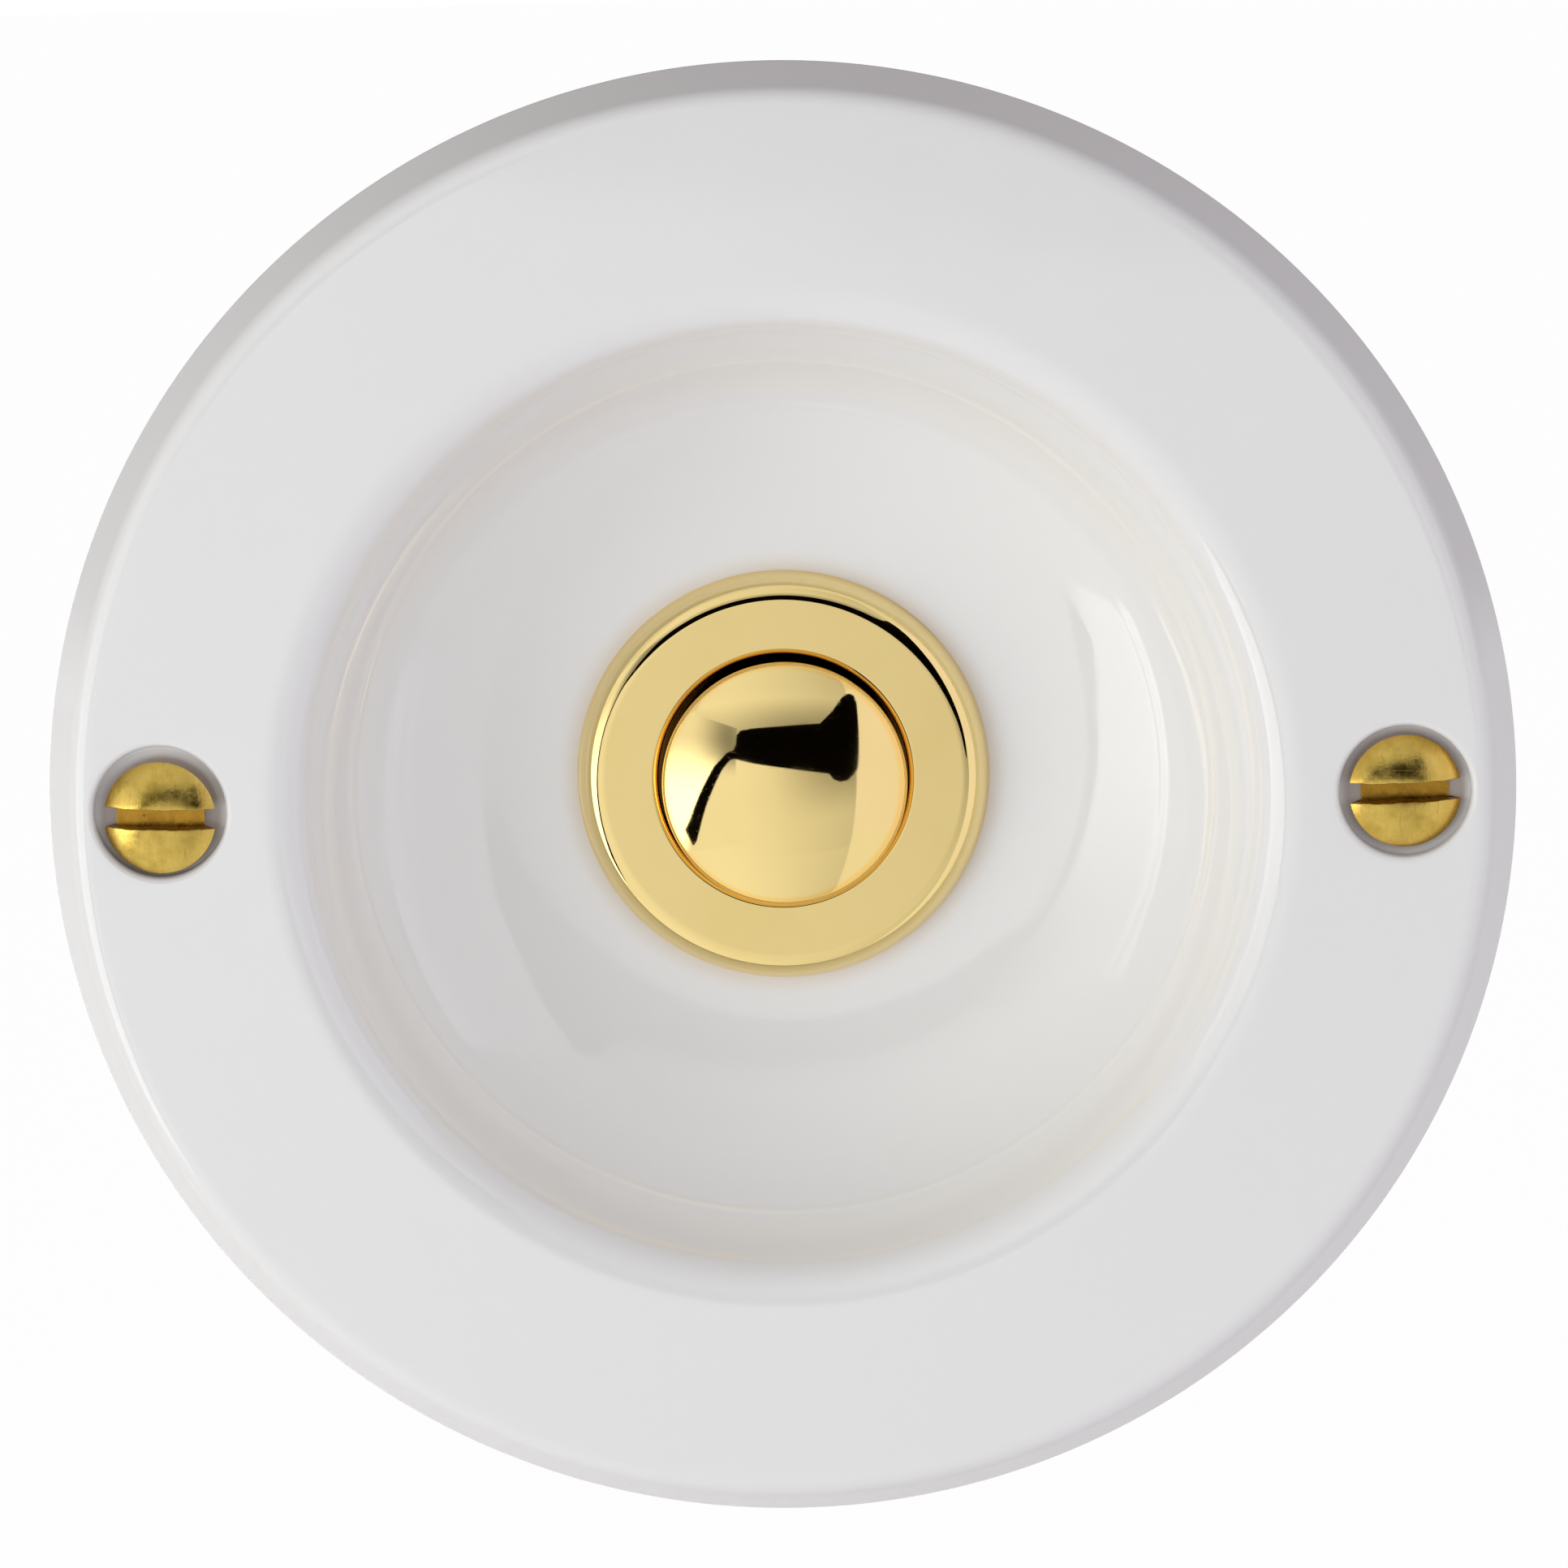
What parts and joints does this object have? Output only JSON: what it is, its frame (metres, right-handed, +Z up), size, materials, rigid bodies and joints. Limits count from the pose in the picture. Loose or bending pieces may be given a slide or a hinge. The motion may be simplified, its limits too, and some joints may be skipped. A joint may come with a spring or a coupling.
{
  "type": "doorbell push button",
  "caption": "Round white porcelain doorbell push: a dished plate sunk into the wall, with a polished brass bezel and a sprung domed brass button that closes a bell contact.",
  "frame": {"origin": "on the button's axis, in the plane of the wall that the back of the rim rests on", "axes": "+Z up, front towards -Y, +Y into the wall along the button's travel, +X to the viewer's right"},
  "size_m": [0.085, 0.0312, 0.085],
  "materials": {
    "glazed_porcelain": "white gloss glaze",
    "polished_brass": "polished",
    "turned_brass": "as turned",
    "screw_brass": "dull, scuffed",
    "contact_bronze": "rolled",
    "gasket_rubber": "matt",
    "fibre": "matt, pressed",
    "phenolic": "moulded",
    "spring_steel": "drawn wire",
    "blued_steel": "blued"
  },
  "bodies": {
    "plate": {"porcelain_dish": "glazed_porcelain", "bezel_sleeve": "polished_brass", "bezel_gasket": "gasket_rubber", "fibre_washer": "fibre", "ring_nut": "turned_brass", "return_spring": "spring_steel", "contact_base": "phenolic", "base_circlip": "blued_steel", "contact_post_left": "turned_brass", "contact_post_right": "turned_brass", "clamp_plate_left": "turned_brass", "clamp_plate_right": "turned_brass", "terminal_screw_left": "turned_brass", "terminal_screw_right": "turned_brass", "fixing_screw_left": "screw_brass", "fixing_screw_right": "screw_brass"},
    "button": {"push_button": "polished_brass", "contact_bush": "phenolic", "contact_bridge": "contact_bronze", "bridge_screw": "turned_brass"}
  },
  "joints": [
    {"name": "press", "type": "slide", "parent": "plate", "child": "button", "axis": [0, 1, 0], "range_m": [0, 0.0016], "stiffness_N_per_m": 900, "springref_m": -0.0015, "deforming": ["return_spring"]}
  ]
}
